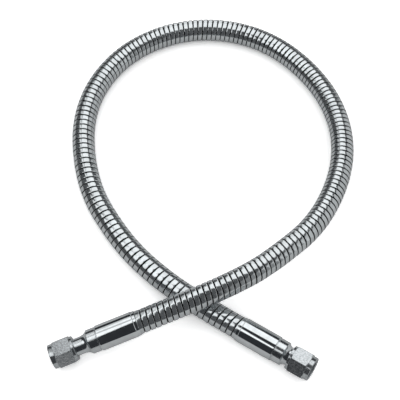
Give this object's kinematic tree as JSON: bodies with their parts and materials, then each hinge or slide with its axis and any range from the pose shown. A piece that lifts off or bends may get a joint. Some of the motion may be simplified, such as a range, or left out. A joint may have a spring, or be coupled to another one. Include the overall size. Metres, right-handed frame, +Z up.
{
  "type": "armoured cryogenic transfer hose",
  "caption": "Metal-armoured transfer hose for cryogenic liquid, lying in one loose loop, with a sliding and turning hexagonal flare nut at each end.",
  "frame": {"origin": "on the floor, midway between the two end fittings: the bottom centre of the box round both fittings", "axes": "+X from end a (its nut forward) towards end b (its nut pushed back), +Y from the fittings towards the far side of the loop, +Z up"},
  "size_m": [0.3065, 0.4172, 0.0499],
  "materials": {
    "armour_strip": "bright rolled stainless strip with a helical groove",
    "braid_wire": "woven stainless wire",
    "hose_steel": "bright stainless",
    "polished_sleeve": "polished stainless",
    "polished_collar": "turned and polished stainless",
    "turned_steel": "turned stainless",
    "stub_steel": "drawn and polished stainless tube",
    "nut_steel": "machined stainless with brushed flats"
  },
  "bodies": {
    "hose": {"armour_casing": "armour_strip", "wire_braid": "braid_wire", "inner_hose": "hose_steel", "armour_sleeve_a": "polished_sleeve", "armour_stop_a": "turned_steel", "braid_ring_a": "turned_steel", "hose_cuff_a": "turned_steel", "end_collar_a": "polished_collar", "tube_stub_a": "stub_steel", "armour_sleeve_b": "polished_sleeve", "armour_stop_b": "turned_steel", "braid_ring_b": "turned_steel", "hose_cuff_b": "turned_steel", "end_collar_b": "polished_collar", "tube_stub_b": "stub_steel"},
    "ring_a": {"flare_ring_a": "turned_steel"},
    "nut_a": {"swivel_nut_a": "nut_steel"},
    "ring_b": {"flare_ring_b": "turned_steel"},
    "nut_b": {"swivel_nut_b": "nut_steel"}
  },
  "joints": [
    {"name": "nut_a_slide", "type": "slide", "parent": "hose", "child": "ring_a", "axis": [-0.9286, -0.3234, -0.1822], "range_m": [-0.0085, 0]},
    {"name": "nut_a_turn", "type": "hinge", "parent": "ring_a", "child": "nut_a", "pos_m": [-0.1143, -0.0046, 0.01415], "axis": [-0.9286, -0.3234, -0.1822], "continuous": true},
    {"name": "nut_b_slide", "type": "slide", "parent": "hose", "child": "ring_b", "axis": [0.8488, -0.5284, 0.0175], "range_m": [0, 0.0085]},
    {"name": "nut_b_turn", "type": "hinge", "parent": "ring_b", "child": "nut_b", "pos_m": [0.11345, -0.01559, 0.01383], "axis": [0.8488, -0.5284, 0.0175], "continuous": true}
  ]
}
